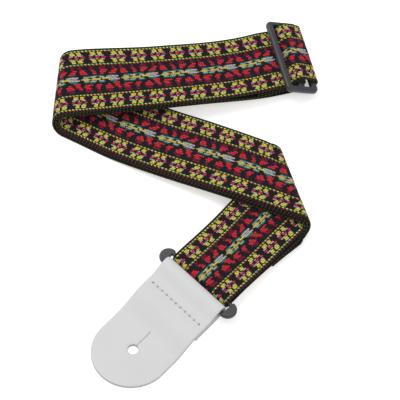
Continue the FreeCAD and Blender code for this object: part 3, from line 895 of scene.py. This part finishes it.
def inside(point, outline):
    """Whether a point is inside a closed outline."""
    x, y = point
    found = False
    for (x0, y0), (x1, y1) in zip(outline, outline[1:] + outline[:1]):
        if (y0 > y) != (y1 > y) and x < x0 + (x1 - x0) * (y - y0) / (y1 - y0):
            found = not found
    return found


def net_places(border, opening, needle_holes):
    """Points inside a leather face: an even net, and rings round the needle holes."""
    places = []
    xs, ys = [p[0] for p in border], [p[1] for p in border]
    x = min(xs) + NET_MARGIN
    while x < max(xs):
        y = min(ys) + NET_MARGIN
        while y < max(ys):
            clear = all(math.dist((x, y), p) > NET_CLEAR for p in border + opening)
            if clear and inside((x, y), border) and not inside((x, y), opening):
                places.append((x, y))
            y += NET_ACROSS
        x += NET_ALONG
    for at_x, at_y in needle_holes:
        for radius, count in NEEDLE_RINGS:
            for i in range(count):
                angle = 2 * math.pi * i / count
                places.append((at_x + radius * math.cos(angle), at_y + radius * math.sin(angle)))
    return places


def needle_depth(place, needle_holes):
    """How far a place is into a needle hole, from 0 to 1."""
    depths = [NEEDLE_FLOOR - math.dist(place, at) / NEEDLE_REACH for at in needle_holes]
    return smooth(max(depths, default=0))


def leather_piece(name, edge, hole, needle_holes, bend, material):
    """A flat cut of leather with rounded edges, laid by bend(x, y, height) in the strap.

    Both faces are a fine net of triangles between the rims; a rim goes round each outline
    from the upper face, over the cut edge, to the lower face."""
    half = LEATHER / 2
    profile = ((0.55, half), (0.22, half - 0.1), (0.0, half - 0.5))
    profile += tuple((gap, -height) for gap, height in profile[::-1])
    tight = ((0.12, half), (0.03, half - 0.12), (0.0, half - 0.4))
    tight += tuple((gap, -height) for gap, height in tight[::-1])
    points, faces, raw, dark = [], [], [], []

    def add(x, y, height, cut):
        depth = needle_depth((x, y), needle_holes) if height > 0 else 0.0
        points.append(bend(x, y, height - NEEDLE_DEPTH * depth))
        raw.append(cut)
        # a needle hole's depth also sets its painted shade
        dark.append(depth)
        return len(points) - 1

    rims = []
    for outline, steps in ((edge, profile), (hole, tight)):
        loops = []
        for gap, height in steps:
            cut = 1.0 if abs(height) < half - 0.3 else 0.0
            loops.append([add(x, y, height, cut) for x, y in inset(outline, gap)])
        for upper, lower in zip(loops, loops[1:]):
            for i in range(len(upper)):
                j = (i + 1) % len(upper)
                faces.append((upper[i], lower[i], lower[j], upper[j]))
        rims.append((loops, inset(outline, steps[0][0])))

    border, opening = rims[0][1], rims[1][1]
    flat = [Vector(p) for p in border + opening + net_places(border, opening, needle_holes)]
    first, second = len(border), len(border) + len(opening)
    rings = [(i, (i + 1) % first) for i in range(first)]
    rings += [(i, first + (i + 1 - first) % (second - first)) for i in range(first, second)]
    corners_at, _, triangles, sources, *_ = delaunay_2d_cdt(flat, rings, [], 0, 1e-5)
    for level, rim in ((half, 0), (-half, -1)):
        known = rims[0][0][rim] + rims[1][0][rim]
        index = []
        for place, origins in zip(corners_at, sources):
            source = next((o for o in origins if o < second), None)
            if source is None:
                index.append(add(place.x, place.y, level, 0.0))
            else:
                index.append(known[source])
        for face in triangles:
            centre = sum((corners_at[i] for i in face), Vector((0, 0))) / len(face)
            if inside(centre, border) and not inside(centre, opening):
                corners = tuple(index[i] for i in face)
                faces.append(corners if level > 0 else corners[::-1])
    return make_piece(name, points, faces, material, raw_edge=raw, hole_dark=dark)


def upper_middle(x):
    """Height, off the loop's bar, of the middle of the front tab's upper layer."""
    at_bar = LOOP_BAR / 2 + HARDWARE_PLAY + LEATHER / 2
    at_seam = -at_bar + LEATHER + 0.1
    flat = LEATHER / 2 - LOOP_LEVEL
    return (
        at_bar
        + (at_seam - at_bar) * smooth(x / 14.0)
        + (flat - at_seam) * smooth((x - LOWER_FLAP) / 23.0)
    )


FOLD_RADIUS = LOOP_BAR / 2 + HARDWARE_PLAY + LEATHER / 2
FOLD_ARC = math.pi * FOLD_RADIUS


def front_bend(x, y, height):
    """The front tab: x above 0 is its upper layer from the bar, below 0 its fold and flap.

    The tab is in line with the strap and the bar is not, so the flat cut is turned to the
    bar before it is folded. The flap is set aside, so that its edges lie under the upper
    layer's edges."""
    turned = math.cos(LOOP_SKEW) * x - math.sin(LOOP_SKEW) * y
    aside = math.sin(LOOP_SKEW) * x + math.cos(LOOP_SKEW) * y
    if turned >= 0:
        run_up = upper_middle(turned + 0.5) - upper_middle(turned - 0.5)
        slope = math.atan(run_up) if turned > 0.5 else 0.0
        across = turned - math.sin(slope) * height
        up = upper_middle(turned) + math.cos(slope) * height
    elif turned > -FOLD_ARC:
        angle = math.pi / 2 - turned / FOLD_RADIUS
        across = (FOLD_RADIUS + height) * math.cos(angle)
        up = (FOLD_RADIUS + height) * math.sin(angle)
        aside += (FOLD_RADIUS * math.cos(angle) - turned) * LOOP_SLANT
    else:
        across = -turned - FOLD_ARC
        up = -FOLD_RADIUS - height
        aside += (across - turned) * LOOP_SLANT
    place = FRONT_BAR + OFF_BAR * across + ALONG_BAR * aside
    return place + Vector((0, 0, LOOP_LEVEL + up))


def on_flat_cut(off_bar, along_bar):
    """Place on the flat cut of the front tab, from a place by the bar."""
    c, d = math.cos(LOOP_SKEW), math.sin(LOOP_SKEW)
    return off_bar * c + along_bar * d, along_bar * c - off_bar * d


def seam_holes():
    """Where the needle went in, along the front seam: neighbouring stitches share a hole."""
    middle = SEAM_SETBACK * LOOP_SLANT
    pitch = SEAM_WIDTH / (STITCHES - 1)
    places = [middle + pitch * (i - STITCHES / 2) for i in range(STITCHES + 1)]
    return [on_flat_cut(SEAM_SETBACK, place) for place in places]


def front_tab(material):
    edge = tab_outline(-FOLD_ARC - LOWER_FLAP, TAB_WIDTH / 2, TAB_REACH, TIP_RADIUS)
    hole = keyhole(TIP_RUN)
    piece = leather_piece("front_leather", edge, hole, seam_holes(), front_bend, material)
    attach(piece, "front_tab")
    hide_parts("front_tab")
    length = TAB_REACH + FOLD_ARC + LOWER_FLAP
    length * MM


def rear_tab(material):
    place, angle = frame_at(REAR_TAB_START, tail_side(REAR_TAB_START) - REAR_TAB_SET)
    along, side = heading(angle), heading(angle + math.pi / 2)

    def bend(x, y, height):
        return place + along * x + side * y + Vector((0, 0, LEATHER / 2 + height))

    edge = tab_outline(0.0, REAR_TAB_WIDTH / 2, REAR_TAB_LENGTH, REAR_TIP_RADIUS)
    hole = keyhole(REAR_TAB_LENGTH - HOLE_SETBACK)
    piece = leather_piece("rear_leather", edge, hole, [], bend, material)
    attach(piece, "strap")
    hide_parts("rear_tab")


# ---------------------------------------------------------------------------------------
# Seams


def stitch(middle, side, up):
    """(points, faces, places) of one stitch: a thread whose ends dive into the material."""
    rings, around, radius = 13, 10, THREAD / 2
    points, places = [], []
    cross = side.cross(up)
    for i in range(rings):
        share = i / (rings - 1)
        # the thread is thinner, and lies deeper, towards its ends
        bow = math.sin(math.pi * share)
        along = (share - 0.5) * STITCH_LENGTH
        thick = radius * (0.55 + 0.45 * min(1.0, bow * 2))
        height = -0.45 + 0.35 * min(1.0, bow * 1.6)
        for j in range(around):
            angle = 2 * math.pi * j / around
            out = cross * (thick * math.cos(angle)) + up * (thick * math.sin(angle) * 0.85)
            points.append(middle + side * along + up * height + out)
            places.append((along, j / around))
    return points, tube_faces(rings, around), places


def seam(name, body, node, rows, material):
    """All the stitches of a seam; a row is its middle point and the direction it runs in."""
    points, faces, places = [], [], []
    up = Vector((0, 0, 1))
    for place, side in rows:
        for i in range(STITCHES):
            middle = place + side * (SEAM_WIDTH * (i / (STITCHES - 1) - 0.5))
            some, skin, where = stitch(middle, side, up)
            faces += [tuple(k + len(points) for k in face) for face in skin]
            points += some
            places += where
    piece = make_piece(name, points, faces, material, places)
    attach(piece, body)
    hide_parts(node)


def row_on_strip(s, side, level):
    """A row of stitches across the strip, on the surface whose n is level."""
    angle = frame_at(s, side)[1]
    return lie(s, side, level), heading(angle + math.pi / 2)


def seams(material):
    x, y = on_flat_cut(SEAM_SETBACK, SEAM_SETBACK * LOOP_SLANT)
    front = front_bend(x, y, LEATHER / 2)
    seam("front_stitches", "front_tab", "front_tab_seam", [(front, ALONG_BAR)], material)
    rear = []
    for past in REAR_SEAM_ROWS:
        s = REAR_TAB_START + past
        rear.append(row_on_strip(s, tail_side(s), tail_level(s) + LOW))
    seam("rear_stitches", "strap", "rear_tab_seam", rear, material)
    level = slide_bar(-1)[1] - SLIDE_WRAP - PITCH + LOW
    slide = [row_on_strip(SLIDE_AT + FLAP_LENGTH - back, 0.0, level) for back in SLIDE_SEAM_ROWS]
    seam("slide_stitches", "strap", "slide_end_seam", slide, material)


# ---------------------------------------------------------------------------------------
# Plastic hardware keeps its CAD shape


def hardware(material):
    for node in ("slide", "loop"):
        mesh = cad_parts[node].data
        mesh.materials.clear()
        mesh.materials.append(material)


# ---------------------------------------------------------------------------------------
# Floor, light and camera

TARGET = Vector((90.987, -86.672, 0.0))
CAMERA_DISTANCE, CAMERA_ELEVATION = 1375.0, math.radians(56.43)
LENS, SENSOR = 184.85, 36.0
FLOOR_REACH, FLOOR_GLOW, SKY_STRENGTH = 3.0, 0.45, 0.62

# name, place and size in metres, and power in watts
LIGHTS = (("key", (-0.5, 0.7, 1.3), 0.9, 10), ("fill", (0.9, -0.5, 1.1), 1.0, 4))


def floor():
    mesh = bpy.data.meshes.new("floor")
    turns = ((-1, -1), (1, -1), (1, 1), (-1, 1))
    mesh.from_pydata([(FLOOR_REACH * x, FLOOR_REACH * y, 0) for x, y in turns], [], [(0, 1, 2, 3)])
    made = Material("floor", 0.9, Emission_Color=(1, 1, 1, 1), Emission_Strength=FLOOR_GLOW)
    made.shader.inputs["Base Color"].default_value = (0.9, 0.9, 0.9, 1)
    mesh.materials.append(made.material)
    piece = bpy.data.objects.new("floor", mesh)
    bpy.context.scene.collection.objects.link(piece)


def light(name, place, size, power):
    """A soft box that looks at the strap."""
    data = bpy.data.lights.new(name, "AREA")
    data.shape, data.size, data.energy = "SQUARE", size, power
    lamp = bpy.data.objects.new(name, data)
    lamp.location = place
    aim = (TARGET - ORIGIN) * MM - Vector(place)
    lamp.rotation_euler = aim.to_track_quat("-Z", "Y").to_euler()
    bpy.context.scene.collection.objects.link(lamp)


def studio():
    floor()
    world = bpy.data.worlds.new("studio")
    world.use_nodes = True
    background = world.node_tree.nodes["Background"]
    background.inputs["Color"].default_value = (1, 1, 1, 1)
    background.inputs["Strength"].default_value = SKY_STRENGTH
    bpy.context.scene.world = world
    for lamp in LIGHTS:
        light(*lamp)
    bpy.context.scene.view_settings.view_transform = "Standard"


def camera():
    data = bpy.data.cameras.new("camera")
    data.lens, data.sensor_width = LENS, SENSOR
    viewer = bpy.data.objects.new("camera", data)
    target = (TARGET - ORIGIN) * MM
    back = Vector((0, -math.cos(CAMERA_ELEVATION), math.sin(CAMERA_ELEVATION)))
    viewer.location = target + back * (CAMERA_DISTANCE * MM)
    viewer.rotation_euler = (-back).to_track_quat("-Z", "Y").to_euler()
    bpy.context.scene.collection.objects.link(viewer)
    bpy.context.scene.camera = viewer


webbing(jacquard())
white = leather()
front_tab(white)
rear_tab(white)
seams(sewing_thread())
hardware(plastic())
studio()
camera()
